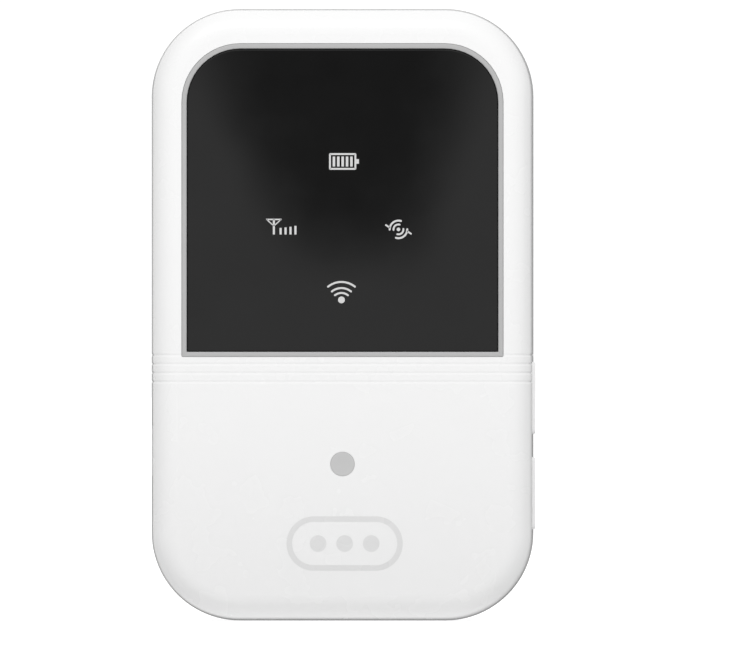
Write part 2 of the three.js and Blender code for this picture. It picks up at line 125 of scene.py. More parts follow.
def groove_depth(v, tilt):
    """The grooves at height v, on a surface that stands tilt degrees out of the side: 90 on the face."""
    near = min(abs(v - groove) for groove in GROOVES)
    if near >= GROOVE_REACH:
        return 0.0
    deepest = GROOVE_SIDE_DEPTH + (GROOVE_DEPTH - GROOVE_SIDE_DEPTH) * tilt / 90
    return deepest * (1 + math.cos(math.pi * near / GROOVE_REACH)) / 2


groove_levels = sorted(groove + stop for groove in GROOVES for stop in GROOVE_STOPS)


# ---- Outlines: each stop is a point and the way out of the outline there ----
def outline(half, top, bottom, top_radius, foot_radius, steps=16, levels=(), reach=0.0):
    """The stops round an outline, anticlockwise from the right.

    levels are heights at which both of its sides need a stop. On the rounded feet they are met on the
    outline grown by reach.
    """
    corners = [
        (half - top_radius, top - top_radius, top_radius, 0),
        (top_radius - half, top - top_radius, top_radius, 1),
        (foot_radius - half, bottom + foot_radius, foot_radius, 2),
        (half - foot_radius, bottom + foot_radius, foot_radius, 3),
    ]
    stops = []
    straight = [v for v in levels if bottom + foot_radius + 1e-6 < v < top - top_radius - 1e-6]
    for cu, cv, radius, quarter in corners:
        angles = [(quarter + i / steps) * math.pi / 2 for i in range(steps + 1)]
        if quarter >= 2 and reach:
            for v in levels:
                rise = (v - cv) / (radius + reach)
                if -1 < rise < 0:
                    across = math.asin(rise)
                    angles.append(math.pi - across if quarter == 2 else 2 * math.pi + across)
        for angle in sorted(angles):
            nu, nv = math.cos(angle), math.sin(angle)
            stops.append((cu + radius * nu, cv + radius * nv, nu, nv))
        if quarter == 1:
            stops += [(-half, v, -1.0, 0.0) for v in sorted(straight, reverse=True)]
        if quarter == 3:
            stops += [(half, v, 1.0, 0.0) for v in sorted(straight)]
    return stops


def circle(u, v, radius, steps=32):
    turns = [2 * math.pi * i / steps for i in range(steps)]
    return [(u + radius * math.cos(a), v + radius * math.sin(a), math.cos(a), math.sin(a)) for a in turns]


def window_outline(inset=0.0, levels=(), reach=0.0):
    """The window's outline: large corners at the top, nearly square ones at the foot."""
    half, top, bottom = WINDOW_HALF - inset, WINDOW_TOP - inset, WINDOW_FOOT + inset
    foot_corner = max(WINDOW_FOOT_CORNER - inset, LEAST_CORNER)
    return outline(half, top, bottom, WINDOW_CORNER - inset, foot_corner, 12, levels, reach)


# ---- Mesh building ----
class Builder:
    def __init__(self):
        self.bm = bmesh.new()

    def loop(self, stops, grow, w, grooved=False, tilt=90.0):
        """A ring of vertices at height w, on the outline grown by grow.

        A grooved ring dips along the surface's own normal, which stands tilt degrees out of the side.
        """
        lean = math.radians(tilt)
        ring = []
        for u, v, nu, nv in stops:
            dip = groove_depth(v, tilt) if grooved and abs(nv) < 0.99 else 0.0
            out = grow - dip * math.cos(lean)
            ring.append(self.bm.verts.new(at(u + nu * out, v + nv * out, w - dip * math.sin(lean))))
        return ring

    def bridge(self, *rings):
        for a, b in zip(rings, rings[1:]):
            for i in range(len(a)):
                j = (i + 1) % len(a)
                self.bm.faces.new((a[i], a[j], b[j], b[i]))

    def cap(self, ring):
        self.bm.faces.new(ring)

    def fill(self, outer, holes=(), levels=()):
        """A flat face inside outer, clear of the convex holes, with an edge along each level."""
        rings = [outer, *holes]
        verts = [vert for ring in rings for vert in ring]
        flat = [uv_of(vert) for vert in verts]
        starts = [sum(len(r) for r in rings[:n]) for n in range(len(rings))]
        edges = []
        for start, ring in zip(starts, rings):
            edges += [(start + i, start + (i + 1) % len(ring)) for i in range(len(ring))]
        for level in levels:
            met = sorted((p.x, i) for i, p in enumerate(flat) if abs(p.y - level) < 1e-4)
            edges += [(met[n][1], met[n + 1][1]) for n in range(0, len(met) - 1, 2)]
        points, _, faces, sources, _, _ = delaunay_2d_cdt(flat, edges, [], 1, 1e-7)
        ids = [set(source) for source in sources]
        hole_ids = [set(range(s, s + len(r))) for s, r in zip(starts[1:], rings[1:])]
        for face in faces:
            if any(all(ids[p] & hole for p in face) for hole in hole_ids):
                continue
            corners = [verts[min(ids[p])] for p in face]
            if len(set(corners)) == len(corners):
                self.bm.faces.new(corners)

    def rod(self, centre, profile, steps=48):
        """A turned body along w, closed at both ends, from (radius, w) pairs."""
        rings = [self.loop(circle(*centre, radius, steps), 0, w) for radius, w in profile]
        self.bridge(*rings)
        self.cap(rings[0])
        self.cap(rings[-1])

    def piece(self, name, finish, body):
        bmesh.ops.recalc_face_normals(self.bm, faces=self.bm.faces)
        mesh = bpy.data.meshes.new(name)
        self.bm.to_mesh(mesh)
        self.bm.free()
        mesh.materials.append(finish)
        smooth(mesh)
        obj = add_object(name, mesh)
        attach(obj, body)
        return obj


def smooth(mesh):
    mesh.shade_smooth()
    mesh.set_sharp_from_angle(angle=math.radians(SHARP))


def add_object(name, data):
    obj = bpy.data.objects.new(name, data)
    bpy.context.scene.collection.objects.link(obj)
    return obj


def cut(obj, cutters):
    """Cuts the cutters out of obj and removes them."""
    for cutter in cutters:
        modifier = obj.modifiers.new("cut", "BOOLEAN")
        modifier.operation = "DIFFERENCE"
        modifier.solver = "EXACT"
        modifier.object = cutter
    bpy.context.view_layer.update()
    evaluated = obj.evaluated_get(bpy.context.evaluated_depsgraph_get())
    mesh = bpy.data.meshes.new_from_object(evaluated)
    obj.modifiers.clear()
    obj.data = mesh
    smooth(mesh)
    for cutter in cutters:
        bpy.data.objects.remove(cutter)


def side_cutter(opening, v, w, u_low, u_high):
    """A rounded bar that runs through a side wall, for cut()."""
    half_v, half_w, radius = opening
    bm = bmesh.new()
    stops = outline(half_v, half_w, -half_w, radius, radius, 6)
    rings = [[bm.verts.new(at(u, v + a, w + b)) for a, b, _, _ in stops] for u in (u_low, u_high)]
    for i in range(len(stops)):
        j = (i + 1) % len(stops)
        bm.faces.new((rings[0][i], rings[0][j], rings[1][j], rings[1][i]))
    bm.faces.new(rings[0])
    bm.faces.new(rings[1])
    bmesh.ops.recalc_face_normals(bm, faces=bm.faces)
    mesh = bpy.data.meshes.new("cutter")
    bm.to_mesh(mesh)
    bm.free()
    return add_object("cutter", mesh)


# ---- Materials ----
EDGE_RANGE = (0.505, 0.56)  # of Pointiness, from a flat surface to a rubbed edge
METAL_SHARE = 0.55  # the rest is matt, so that metal isn't black where it faces the card behind


class Finish:
    """A procedural material: a Principled shader fed by noise in the object's own coordinates."""

    def __init__(self, name):
        self.material = bpy.data.materials.new(name)
        self.material.use_nodes = True
        self.tree = self.material.node_tree
        self.shader = self.tree.nodes["Principled BSDF"]
        self.place = self.node("ShaderNodeTexCoord").outputs["Object"]

    def node(self, kind, **settings):
        made = self.tree.nodes.new(kind)
        for key, value in settings.items():
            setattr(made, key, value)
        return made

    def link(self, source, target):
        self.tree.links.new(source, target)

    def stretched(self, scale):
        mapping = self.node("ShaderNodeMapping")
        mapping.inputs["Scale"].default_value = scale
        self.link(self.place, mapping.inputs["Vector"])
        return mapping.outputs["Vector"]

    def noise(self, grain_mm, detail=3.0, stretch=None):
        """A noise whose cells are about grain_mm across, as a value round 0.5."""
        made = self.node("ShaderNodeTexNoise")
        made.inputs["Scale"].default_value = 1 / (grain_mm * MM)
        made.inputs["Detail"].default_value = detail
        self.link(self.stretched(stretch) if stretch else self.place, made.inputs["Vector"])
        return made.outputs["Fac"]

    def ranged(self, value, low, high, start=0.3, end=0.7):
        made = self.node("ShaderNodeMapRange")
        made.inputs["From Min"].default_value = start
        made.inputs["From Max"].default_value = end
        made.inputs["To Min"].default_value = low
        made.inputs["To Max"].default_value = high
        self.link(value, made.inputs["Value"])
        return made.outputs["Result"]

    def colour(self, value, dark, light, start=0.3, end=0.7):
        ramp = self.node("ShaderNodeValToRGB")
        ramp.color_ramp.elements[0].position = start
        ramp.color_ramp.elements[0].color = (*dark, 1)
        ramp.color_ramp.elements[1].position = end
        ramp.color_ramp.elements[1].color = (*light, 1)
        self.link(value, ramp.inputs["Fac"])
        self.link(ramp.outputs["Color"], self.shader.inputs["Base Color"])
        return ramp

    def edges(self, low, high):
        """A value that goes from low to high where the surface turns over an edge."""
        pointiness = self.node("ShaderNodeNewGeometry").outputs["Pointiness"]
        return self.ranged(pointiness, low, high, *EDGE_RANGE)

    def times(self, a, b):
        made = self.node("ShaderNodeMath", operation="MULTIPLY")
        self.link(a, made.inputs[0])
        self.link(b, made.inputs[1])
        return made.outputs["Value"]

    def roughness(self, value, low, high, edge=1.0):
        """Roughness that varies with value from low to high, and is edge times that on rubbed edges."""
        base = self.ranged(value, low, high)
        self.link(self.times(base, self.edges(1.0, edge)), self.shader.inputs["Roughness"])

    def bump(self, *layers):
        """layers are (value, height in mm) pairs, laid over each other."""
        normal = None
        for value, height in layers:
            made = self.node("ShaderNodeBump")
            made.inputs["Strength"].default_value = 1.0
            made.inputs["Distance"].default_value = height * MM
            self.link(value, made.inputs["Height"])
            if normal:
                self.link(normal, made.inputs["Normal"])
            normal = made.outputs["Normal"]
        self.link(normal, self.shader.inputs["Normal"])

    def set(self, **values):
        for key, value in values.items():
            self.shader.inputs[key.replace("_", " ")].default_value = value


def grey(level, tint=0.0):
    return (level, level, level * (1 + tint))


def plastic(name, base, rough, spread=0.02, grain=0.35, height=0.004, coat=0.0, tint=0.0):
    """Moulded plastic: a slight mottle, uneven gloss and a fine skin."""
    finish = Finish(name)
    finish.colour(finish.noise(7), grey(base * (1 - spread), tint), grey(base * (1 + spread / 2), tint))
    finish.roughness(finish.noise(5, 2), rough * 0.93, rough * 1.08, 0.8)
    finish.bump((finish.noise(9, 1), height * 3), (finish.noise(grain, 2), height))
    finish.set(IOR=1.48)
    if coat:
        finish.set(Coat_Weight=coat, Coat_Roughness=0.08)
    return finish.material


def sheet_metal(name, colour, rough, grain=0.5, stretch=(1, 1, 8)):
    """Rolled or drawn metal: fine streaks along one way, and blotchy gloss."""
    finish = Finish(name)
    streaks = finish.noise(grain, 4, stretch)
    finish.colour(streaks, tuple(c * 0.82 for c in colour), colour)
    finish.roughness(finish.noise(1.6, 4), rough * 0.75, rough * 1.35, 0.6)
    finish.bump((streaks, 0.004), (finish.noise(3, 2), 0.01))
    finish.set(Metallic=METAL_SHARE)
    return finish.material


def painted(name, base):
    """Satin metallic paint: fine flake in the colour, and an even gloss."""
    finish = Finish(name)
    flake = finish.noise(0.12, 2)
    finish.colour(flake, grey(base * 0.97), grey(base * 1.02))
    finish.roughness(finish.noise(1.8, 4), 0.3, 0.4)
    finish.bump((flake, 0.0008))
    finish.set(Metallic=0.25)
    return finish.material


def gloss_black(name):
    """The window: deep gloss with the faintest ripple and a trace of handling."""
    finish = Finish(name)
    finish.colour(finish.noise(12, 4), grey(0.0045), grey(0.0065))
    finish.roughness(finish.noise(6, 6), 0.01, 0.025)
    finish.bump((finish.noise(24, 1), 0.01))
    finish.set(Specular_IOR_Level=0.25)
    return finish.material


def circuit_board(name):
    """Solder mask over copper: a net of slightly raised tracks round flat fields."""
    finish = Finish(name)
    field_mm = 2.0
    gap = finish.node("ShaderNodeMath", operation="SUBTRACT")
    for socket, feature in zip(gap.inputs, ("F2", "F1")):
        cells = finish.node("ShaderNodeTexVoronoi", distance="CHEBYCHEV", feature=feature)
        cells.inputs["Scale"].default_value = 1 / (field_mm * MM)
        finish.link(finish.place, cells.inputs["Vector"])
        finish.link(cells.outputs["Distance"], socket)
    tracks = finish.ranged(gap.outputs["Value"], 1, 0, 0.07, 0.13)
    ramp = finish.colour(tracks, (0.010, 0.085, 0.035), (0.022, 0.15, 0.06), 0.2, 0.8)
    ramp.color_ramp.interpolation = "EASE"
    finish.roughness(finish.noise(1.5, 4), 0.28, 0.45)
    finish.bump((tracks, 0.02), (finish.noise(0.3, 2), 0.003))
    return finish.material


white_gloss = plastic("white_gloss", 0.85, 0.27, 0.005, 0.3, 0.0006, coat=0.25)
# painted light: the side keys' white is lighter than the housing's, so that the keys, which render darker
# than the face, come out as light as it
white_key = plastic("white_key", 0.90, 0.33, 0.01, 0.22, 0.002)
chassis_plastic = plastic("chassis_plastic", 0.66, 0.5, 0.03, 0.16, 0.008, tint=-0.01)
grey_satin = plastic("grey_satin", 0.53, 0.42, 0.02, 0.14, 0.004)
black_plastic = plastic("black_plastic", 0.014, 0.55, 0.1, 0.14, 0.006)
light_guide = plastic("light_guide", 0.75, 0.2, 0.02, 0.4, 0.002)
led_body = plastic("led_body", 0.7, 0.3, 0.03, 0.2, 0.004, tint=-0.3)
film_label = plastic("film_label", 0.8, 0.48, 0.01, 0.5, 0.003)
battery_film = plastic("battery_film", 0.024, 0.34, 0.06, 0.8, 0.01, tint=0.25)
soft_pad = plastic("soft_pad", 0.35, 0.8, 0.06, 0.2, 0.02, tint=0.2)
window_black = gloss_black("window_black")
silver_trim = painted("silver_trim", 0.43)
tin_plate = sheet_metal("tin_plate", (0.70, 0.71, 0.725), 0.3)
screw_steel = sheet_metal("screw_steel", (0.5, 0.5, 0.52), 0.33, 0.2, (1, 1, 1))
gold_plate = sheet_metal("gold_plate", (0.85, 0.6, 0.2), 0.25, 0.3)
copper_foil = sheet_metal("copper_foil", (0.75, 0.4, 0.2), 0.35, 0.4)
board_green = circuit_board("board_green")
sign_print = plastic("sign_print", 0.62, 0.5, 0.03, 0.12, 0.002)
mark_print = plastic("mark_print", 0.72, 0.35, 0.01, 0.2, 0.0006)


# ---- Camera, light and floor ----
CAMERA_LENS, CAMERA_SENSOR = 600, 36
CAMERA_PLACE = (3.64, -1.5, 1974.5)  # level, and a little right of the device's middle and below it
# The light tent's radiance is TENT_LEVEL, plus the direction's dot product with TENT_SLOPE, less up to
# SIDE_FLAGS at the two sides, where dark flags draw the outline of a white object.
TENT_LEVEL = 1.17
TENT_SLOPE = (0.015, -0.10, 0.01)
SIDE_FLAGS = 0.6
# The dark card is where each of these dot products with the direction is above zero: its left, right,
# lower and upper edge, each with its softness.
CARD_SHADE = 0.8
CARD_EDGES = (
    ((1, -0.0034, 0.413), 0.0032),
    ((-1, -0.0033, 0.235), 0.0033),
    ((0, 0.0061, 1), 0.0043),
    ((0, -0.035, -1), 0.003),
)
# A second card stands behind the object, and only gloss shows it: it darkens what is seen at a grazing
# angle. It takes off up to REAR_SHADE of the light, as the direction's dot product with REAR_WAY goes
# from REAR_FROM to REAR_TO.
REAR_SHADE = 0.9
REAR_WAY = (0.3, 1, -0.3)
REAR_FROM, REAR_TO = 0.76, 0.97
BACKDROP = 1.1  # what the camera sees of the tent
WHITE = (1, 1, 1, 1)


def make_camera():
    data = bpy.data.cameras.new("camera")
    data.lens = CAMERA_LENS
    data.sensor_width = CAMERA_SENSOR
    camera = add_object("camera", data)
    camera.location = at(*CAMERA_PLACE)
    camera.rotation_euler = (math.pi / 2, 0, 0)
    bpy.context.scene.camera = camera


def area_light(name, place, aim, size, watts):
    data = bpy.data.lights.new(name, "AREA")
    data.shape = "RECTANGLE"
    data.size, data.size_y = size
    data.energy = watts
    light = add_object(name, data)
    light.location = place
    light.rotation_mode = "QUATERNION"
    light.rotation_quaternion = (Vector(aim) - Vector(place)).to_track_quat("-Z", "Y")
    light.visible_camera = False


def make_world():
    """A light tent, dimmer at the sides and behind, with two dark cards. The camera sees it as white."""
    world = bpy.data.worlds.new("light_tent")
    world.use_nodes = True
    bpy.context.scene.world = world
    tree = world.node_tree
    tree.nodes.clear()
    link = tree.links.new

    def node(kind, **settings):
        made = tree.nodes.new(kind)
        for key, value in settings.items():
            setattr(made, key, value)
        return made

    direction = node("ShaderNodeTexCoord").outputs["Generated"]

    def along(vector):
        dot = node("ShaderNodeVectorMath", operation="DOT_PRODUCT")
        dot.inputs[1].default_value = vector
        link(direction, dot.inputs[0])
        return dot.outputs["Value"]

    def math_node(operation, a, b=0.0):
        made = node("ShaderNodeMath", operation=operation)
        for socket, value in zip(made.inputs, (a, b)):
            if isinstance(value, float):
                socket.default_value = value
            else:
                link(value, socket)
        return made.outputs["Value"]

    def ramp(vector, low, high, most=1.0):
        """From 0 to most as the direction's dot product with vector goes from low to high."""
        made = node("ShaderNodeMapRange", interpolation_type="SMOOTHSTEP")
        made.inputs["From Min"].default_value = low
        made.inputs["From Max"].default_value = high
        made.inputs["To Max"].default_value = most
        link(along(vector), made.inputs["Value"])
        return made.outputs["Result"]

    card = None
    for edge, softness in CARD_EDGES:
        side = ramp(edge, -softness, softness)
        card = math_node("MULTIPLY", card, side) if card else side
    sideways = math_node("POWER", math_node("ABSOLUTE", along((1, 0, 0))), 2.0)
    flags = math_node("MULTIPLY", sideways, SIDE_FLAGS)
    light = math_node("SUBTRACT", math_node("ADD", along(TENT_SLOPE), TENT_LEVEL), flags)
    paths = node("ShaderNodeLightPath")
    rear = ramp(REAR_WAY, REAR_FROM, REAR_TO, REAR_SHADE)
    rear = math_node("MULTIPLY", rear, paths.outputs["Is Glossy Ray"])
    shade = math_node(
        "MULTIPLY",
        math_node("SUBTRACT", 1.0, math_node("MULTIPLY", card, CARD_SHADE)),
        math_node("SUBTRACT", 1.0, rear),
    )
    tent = node("ShaderNodeBackground")
    tent.inputs["Color"].default_value = WHITE
    link(math_node("MULTIPLY", light, shade), tent.inputs["Strength"])
    backdrop = node("ShaderNodeBackground")
    backdrop.inputs["Color"].default_value = WHITE
    backdrop.inputs["Strength"].default_value = BACKDROP
    mix = node("ShaderNodeMixShader")
    link(paths.outputs["Is Camera Ray"], mix.inputs["Fac"])
    link(tent.outputs["Background"], mix.inputs[1])
    link(backdrop.outputs["Background"], mix.inputs[2])
    link(mix.outputs["Shader"], node("ShaderNodeOutputWorld").inputs["Surface"])


def sheet(name, middle_y, z, width, depth, finish):
    """A level rectangle, for the stage. Its middle is at x = 0, and its sizes are in metres."""
    bm = bmesh.new()
    bmesh.ops.create_grid(bm, x_segments=2, y_segments=2, size=0.5)
    for vert in bm.verts:
        vert.co = Vector((vert.co.x * width, middle_y + vert.co.y * depth, z))
    mesh = bpy.data.meshes.new(name)
    bm.to_mesh(mesh)
    bm.free()
    mesh.materials.append(finish.material)
    return add_object(name, mesh)


def make_floor():
    finish = Finish("floor_white")
    finish.colour(finish.noise(60), grey(0.9), grey(0.93))
    finish.set(Roughness=0.9, Emission_Color=WHITE, Emission_Strength=0.35)
    floor = sheet("floor", 0, 0, 12, 12, finish)
    floor.visible_diffuse = False
    floor.visible_glossy = False


def make_floor_flag():
    """A grey strip just under the floor in front. It shades the lower part of the face: only scattered
    light meets it, since the floor lets that through."""
    finish = Finish("flag_grey")
    finish.colour(finish.noise(40), grey(0.7), grey(0.73))
    finish.set(Roughness=0.9)
    strip = sheet("floor_flag", -0.041, -0.0006, 0.6, 0.064, finish)
    strip.visible_camera = False
    strip.visible_glossy = False
    strip.visible_shadow = False


def make_stage():
    make_camera()
    make_world()
    make_floor()
    make_floor_flag()
    area_light("top_front", (-0.1, -0.45, 0.55), at(0, 20, 0), (0.5, 0.35), 0.5)
    bpy.context.scene.view_settings.view_transform = "Standard"
    bpy.context.scene.view_settings.look = "None"


# ---- The housing ----
SEAM_ROUND = ((0.3, 0), (0.12, 0.04), (0.03, 0.12), (0, 0.25))  # (inset, rise) from the seam


def quarter_round(inset, depth, start_w, sense, steps=14):
    """(inset, w, tilt) along a quarter ellipse, from the side wall to the flat face."""
    points = []
    for i in range(1, steps + 1):
        turn = math.radians(90 * i / steps)
        across, along = math.cos(turn), math.sin(turn)
        tilt = math.degrees(math.atan2(along / depth, across / inset))
        points.append((inset * (1 - across), start_w + sense * depth * along, tilt))
    return points


def housing_stops(levels=()):
    return outline(HALF_WIDTH, HALF_HEIGHT, -HALF_HEIGHT, CORNER, CORNER, 24, levels)


def front_shell():
    build = Builder()
    stops = housing_stops(groove_levels)
    inner = [
        (SIDE_WALL + 3.0, FACE_INSIDE),
        (SIDE_WALL + 1.2, FACE_INSIDE - 0.35),
        (SIDE_WALL, FACE_INSIDE - 2.2),
        (SIDE_WALL, PARTING + 0.1),
        (SIDE_WALL - 0.1, PARTING),
    ]
    rim = [(inset, PARTING + rise, 0) for inset, rise in SEAM_ROUND]
    wall_top = FRONT - FRONT_ROUND[1]
    wall = [(0, PARTING + 0.4, 0), (DRAFT * 0.9, wall_top - 0.4, 0), (DRAFT, wall_top, 0)]
    roll = quarter_round(FRONT_ROUND[0] - DRAFT, FACE - wall_top, wall_top, 1)
    roll = [(inset + DRAFT, w, tilt) for inset, w, tilt in roll]
    flat = [(FRONT_ROUND[0] + FLAT_START, FACE, 90)]
    inside = [build.loop(stops, -inset, w) for inset, w in inner]
    outside = [build.loop(stops, -inset, w, True, tilt) for inset, w, tilt in rim + wall + roll + flat]
    build.bridge(*inside, *outside)

    lip_window = window_outline(0, groove_levels, LIP + 0.08)
    pocket = [
        build.loop(lip_window, LIP + 0.08, FACE, True),
        build.loop(lip_window, LIP, FACE, True),
        build.loop(lip_window, LIP * 0.3, FACE - LIP * 0.3, True),
        build.loop(lip_window, 0, FACE - LIP, True),
        build.loop(lip_window, 0, POCKET_FLOOR),
    ]
    build.bridge(*pocket)
    key_u, key_v, _ = middle("power_key")
    key_hole = circle(key_u, key_v, KEY_HOLE, 48)
    bore = [
        build.loop(key_hole, 0.1, FACE),
        build.loop(key_hole, 0.03, FACE),
        build.loop(key_hole, 0, FACE - 0.03),
        build.loop(key_hole, 0, FACE_INSIDE),
    ]
    build.bridge(*bore)
    light_holes = []
    for sign in ("battery", "signal", "data", "wireless"):
        u, v, _ = middle(f"light_guide_{sign}")
        ring = circle(u, v, LIGHT_HOLE, 24)
        pair = [build.loop(ring, 0, POCKET_FLOOR), build.loop(ring, 0, FACE_INSIDE)]
        build.bridge(*pair)
        light_holes.append(pair)
    build.fill(outside[-1], [pocket[0], bore[0]], groove_levels)
    build.fill(pocket[-1], [front for front, _ in light_holes])
    build.fill(inside[0], [bore[-1], *(back for _, back in light_holes)])
    shell = build.piece("front_shell_body", white_gloss, "housing")

    cutters = []
    for node, opening, side in (
        ("side_key_upper", SIDE_KEY_SLOT, 1),
        ("side_key_lower", SIDE_KEY_SLOT, 1),
        ("usb_port_shell", PORT_OPENING, -1),
        ("reset_plunger", PINHOLE, -1),
    ):
        _, v, w = middle(node)
        ends = sorted((side * (HALF_WIDTH - WALL_CUT), side * (HALF_WIDTH + 1)))
        cutters.append(side_cutter(opening, v, w, *ends))
    cut(shell, cutters)
    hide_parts("front_shell")


def box_between(build, lows, highs):
    """A box with its edges taken off a little."""
    made = bmesh.ops.create_cube(build.bm, size=1)
    centre = at(*((a + b) / 2 for a, b in zip(lows, highs)))
    across, along, deep = (b - a for a, b in zip(lows, highs))
    for vert in made["verts"]:
        vert.co = centre + Vector((vert.co.x * across, vert.co.y * deep, vert.co.z * along)) * MM
    edges = list({edge for vert in made["verts"] for edge in vert.link_edges})
    bmesh.ops.bevel(build.bm, geom=edges, offset=0.12 * MM, segments=2, affect="EDGES", profile=0.5)


# half sizes: of a clip and of its hook, across and along the wall, and of a rib, along u and v
CLIP_HALVES, HOOK_HALVES, RIB_HALVES = (0.42, 2.5), (0.4, 2.1), (20, 0.4)
CLIP_INSET, CLIP_HEIGHTS = 0.67, (30, 2, -31)
HOOK_REACH = 0.2
RIB_HEIGHTS = (-40, -14, 40)


def back_cover():
    build = Builder()
    stops = housing_stops()
    top = PARTING - SEAM
    inside_w = BACK + COVER_WALL
    inner = [
        (COVER_WALL + 2.4, inside_w),
        (COVER_WALL + 0.9, inside_w + 0.4),
        (COVER_WALL, inside_w + 1.8),
        (COVER_WALL, top - 0.1),
        (COVER_WALL - 0.1, top),
    ]
    rim = [(inset, top - rise) for inset, rise in SEAM_ROUND] + [(0, top - 0.4)]
    wall_end = BACK + BACK_ROUND[1]
    roll = [(inset, w) for inset, w, _ in quarter_round(*BACK_ROUND, wall_end, -1)]
    wall = [(0, wall_end + 0.3), (0, wall_end)]
    profile = inner + rim + wall + roll + [(BACK_ROUND[0] + FLAT_START, BACK)]
    rings = [build.loop(stops, -inset, w) for inset, w in profile]
    build.bridge(*rings)
    build.fill(rings[0])
    build.fill(rings[-1])
    cover = build.piece("back_cover_body", white_gloss, "back_cover")
    cut(cover, [side_cutter(NOTCH, NOTCH_V, top + 0.5, -HALF_WIDTH - 1, -HALF_WIDTH + 0.8)])
    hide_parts("back_cover")
    cover_clips(inside_w)


def cover_clips(inside_w):
    """The cover's clips with their hooks, and the ribs on its floor, which is at inside_w."""
    foot_w = inside_w - 0.05
    clips = Builder()

    def block(u, v, halves, low_w, high_w):
        half_u, half_v = halves
        box_between(clips, (u - half_u, v - half_v, low_w), (u + half_u, v + half_v, high_w))

    across, along = HALF_WIDTH - SIDE_WALL - CLIP_INSET, HALF_HEIGHT - SIDE_WALL - CLIP_INSET
    places = [(side * across, v, side, 0) for side in (-1, 1) for v in CLIP_HEIGHTS]
    places += [(0, side * along, 0, side) for side in (-1, 1)]
    for u, v, turn_u, turn_v in places:
        step = 1 if turn_u else -1
        block(u, v, CLIP_HALVES[::step], foot_w, -0.9)
        block(u + turn_u * HOOK_REACH, v + turn_v * HOOK_REACH, HOOK_HALVES[::step], -1.6, -1.1)
    for v in RIB_HEIGHTS:
        block(0, v, RIB_HALVES, foot_w, inside_w + 0.12)
    clips.piece("cover_clips", white_gloss, "back_cover")


# ---- Window ----
def window():
    build = Builder()
    lows, highs = span("display_window")
    back, front = lows[2], highs[2]
    edge = [(0, back), (0, front - 0.2), (0.06, front - 0.07), (0.18, front), (0.3, front)]
    rings = [build.loop(window_outline(BEZEL_WIDTH + inset), 0, w) for inset, w in edge]
    build.bridge(*rings)
    build.cap(rings[0])
    build.cap(rings[-1])
    glass = build.piece("window_glass", window_black, "housing")
    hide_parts("display_window")


def bezel():
    build = Builder()
    lows, highs = span("window_bezel")
    back, front = lows[2], highs[2]
    section = [(0.02, back), (0.02, front - 0.1), (0.06, front - 0.03), (0.14, front), (0.7, front)]
    inner = BEZEL_WIDTH - 0.015
    section += [(inner - 0.06, front - 0.04), (inner, front - 0.14), (inner, back)]
    rings = [build.loop(window_outline(inset), 0, w) for inset, w in section]
    build.bridge(*rings, rings[0])
    trim = build.piece("window_trim", silver_trim, "housing")
    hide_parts("window_bezel")


# ---- Printed signs ----
INK_GAP = 0.004  # between a face and the print on it
SIGN_INK, MARK_INK = 0.012, 0.008


class Print(Builder):
    """Flat printing, as thin closed shapes from low to high over a face."""

    def __init__(self, low, high):
        super().__init__()
        self.low, self.high = low, high

    def shape(self, points):
        rings = [[self.bm.verts.new(at(u, v, w)) for u, v in points] for w in (self.low, self.high)]
        self.bridge(*rings)
        self.cap(rings[0])
        self.cap(rings[1])

    def bar(self, u, low, high, width):
        half = width / 2
        self.shape([(u - half, low), (u + half, low), (u + half, high), (u - half, high)])

    def line(self, a, b, width):
        along = (Vector(b) - Vector(a)).normalized() * width / 2
        side = Vector((-along.y, along.x))
        a, b = Vector(a), Vector(b)
        self.shape([tuple(p) for p in (a + side, a - side, b - side, b + side)])

    def dot(self, u, v, radius, steps=32):
        self.shape([(p[0], p[1]) for p in circle(u, v, radius, steps)])

    def arc(self, u, v, radius, start, end, width, steps=28):
        """A round-ended stroke about (u, v), from start to end in degrees."""
        half = width / 2

        def edge(r, a):
            return (u + r * math.cos(math.radians(a)), v + r * math.sin(math.radians(a)))

        turns = [start + (end - start) * i / steps for i in range(steps + 1)]
        outer = [edge(radius + half, a) for a in turns]
        inner = [edge(radius - half, a) for a in reversed(turns)]
        end_cap = self.cap_points(edge(radius, end), half, end)
        start_cap = self.cap_points(edge(radius, start), half, start + 180)
        self.shape(outer + end_cap + inner + start_cap)

    @staticmethod
    def cap_points(centre, half, start, steps=6):
        turns = [math.radians(start + 180 * i / steps) for i in range(1, steps)]
        return [(centre[0] + half * math.cos(a), centre[1] + half * math.sin(a)) for a in turns]

    def frame(self, stops, width):
        """A closed line of that width inside an outline."""
        rings = [
            self.loop(stops, grow, w)
            for grow, w in ((0, self.low), (0, self.high), (-width, self.high), (-width, self.low))
        ]
        self.bridge(*rings, rings[0])


def battery_sign(ink):
    u, v, half, rise = 0.03, 24.79, 2.2, 1.34
    corner = 0.22
    stops = outline(half, rise, -rise, corner, corner, 4)
    ink.frame([(a + u, b + v, nu, nv) for a, b, nu, nv in stops], 0.29)
    ink.bar(u + half + 0.215, v - 0.37, v + 0.37, 0.42)
    for i in range(5):
        ink.bar(u + 0.708 * (i - 2), v - 0.82, v + 0.8, 0.4)


def signal_sign(ink):
    base, mast, top = 12.98, -11.1, 15.41
    ink.bar(mast, base, top, 0.33)
    ink.line((mast - 1.24, top), (mast + 1.24, top), 0.22)
    for side in (-1, 1):
        ink.line((mast + side * 1.16, top), (mast + side * 0.06, 14.4), 0.17)
    for i, height in enumerate((1.06, 1.13, 1.24, 1.39)):
        ink.bar(-10.01 + 0.8 * i, base, base + height, 0.34)


def data_sign(ink):
    u, v = 9.05, 13.8
    ink.dot(u, v, 0.29)
    for turn in (0, 180):
        ink.arc(u, v, 0.8, turn + 76, turn + 186, 0.29)
        ink.arc(u, v, 1.42, turn + 73, turn + 181, 0.31)
        side = math.cos(math.radians(turn))
        ink.line((u - side * 2.12, v + side * 0.76), (u - side * 1.4, v + side * 0.28), 0.27)


